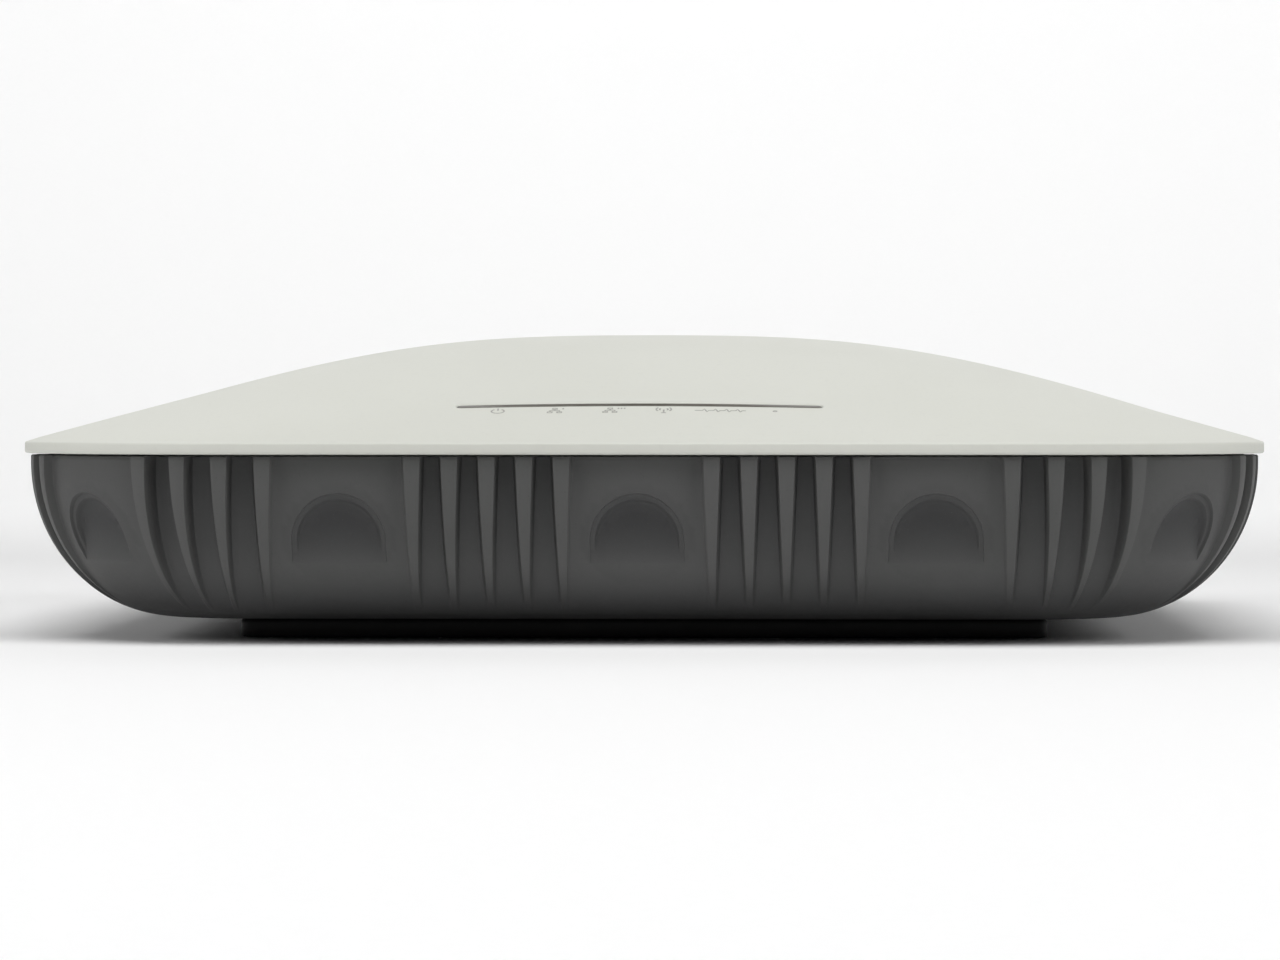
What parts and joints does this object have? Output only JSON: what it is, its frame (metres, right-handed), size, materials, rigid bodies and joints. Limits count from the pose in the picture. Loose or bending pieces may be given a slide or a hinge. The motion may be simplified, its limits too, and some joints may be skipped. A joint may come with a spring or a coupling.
{
  "type": "ceiling access point",
  "caption": "Square ceiling-mount wireless access point with a shallow domed cover, a finned bowl-shaped cast body, a light strip and a slide-on ceiling plate.",
  "frame": {"origin": "centre of the ceiling plate's underside, the face that meets the ceiling", "axes": "+Z from the ceiling plate towards the cover; -Y is the side with the light strip; +X completes the frame"},
  "size_m": [0.23, 0.23, 0.0569],
  "materials": {
    "cover_plastic": "fine satin, warm white",
    "lens_plastic": "smoked, gloss",
    "clear_plastic": "clear, polished",
    "body_coating": "charcoal, fine satin over die casting",
    "plate_coating": "black, satin powder coat",
    "bright_steel": "plated, bright",
    "bay_plastic": "black, fine grain",
    "button_plastic": "dark grey, satin",
    "jack_metal": "tinned shell",
    "circuit_board": "green solder mask",
    "chip_resin": "moulded black",
    "thermal_pad": "soft grey",
    "tin_plate": "tinned sheet",
    "antenna_metal": "copper alloy sheet",
    "cable_jacket": "thin black jacket"
  },
  "bodies": {
    "access_point": {"top_cover": "cover_plastic", "led_lens": "lens_plastic", "light_guide": "clear_plastic", "heatsink_base": "body_coating", "mount_stud_1": "bright_steel", "mount_stud_2": "bright_steel", "mount_stud_3": "bright_steel", "mount_stud_4": "bright_steel", "cover_screw_1": "bright_steel", "cover_screw_2": "bright_steel", "cover_screw_3": "bright_steel", "cover_screw_4": "bright_steel", "board_screw_1": "bright_steel", "board_screw_2": "bright_steel", "board_screw_3": "bright_steel", "board_screw_4": "bright_steel", "port_bay": "bay_plastic", "power_jack": "bay_plastic", "lan_jack_1": "jack_metal", "lan_jack_2": "jack_metal", "main_board": "circuit_board", "led_board": "circuit_board", "scan_antenna": "circuit_board", "beacon_antenna": "circuit_board", "soc_chip": "chip_resin", "memory_chip_1": "chip_resin", "memory_chip_2": "chip_resin", "flash_chip": "chip_resin", "poe_transformer": "chip_resin", "lan_transformer": "chip_resin", "power_inductor": "chip_resin", "reset_switch": "chip_resin", "soc_thermal_pad": "thermal_pad", "radio_24ghz_thermal_pad": "thermal_pad", "radio_5ghz_thermal_pad": "thermal_pad", "radio_6ghz_thermal_pad": "thermal_pad", "radio_24ghz_shield": "tin_plate", "radio_5ghz_shield": "tin_plate", "radio_6ghz_shield": "tin_plate", "reflector_plate": "tin_plate", "bulk_capacitor_1": "tin_plate", "bulk_capacitor_2": "tin_plate", "dual_band_antenna_1": "antenna_metal", "dual_band_antenna_2": "antenna_metal", "dual_band_antenna_3": "antenna_metal", "dual_band_antenna_4": "antenna_metal", "patch_antenna_1": "antenna_metal", "patch_antenna_2": "antenna_metal", "patch_antenna_3": "antenna_metal", "patch_antenna_4": "antenna_metal", "antenna_cable_1": "cable_jacket", "antenna_cable_2": "cable_jacket", "antenna_cable_3": "cable_jacket", "antenna_cable_4": "cable_jacket"},
    "ceiling_plate": {"mount_plate": "plate_coating"},
    "reset_key": {"reset_button": "button_plastic"}
  },
  "joints": [
    {"name": "plate_slide", "type": "slide", "parent": "access_point", "child": "ceiling_plate", "axis": [0, -1, 0], "range_m": [0, 0.01]},
    {"name": "reset_press", "type": "slide", "parent": "access_point", "child": "reset_key", "axis": [0, 1, 0], "range_m": [0, 0.0008], "stiffness_N_per_m": 2000}
  ]
}
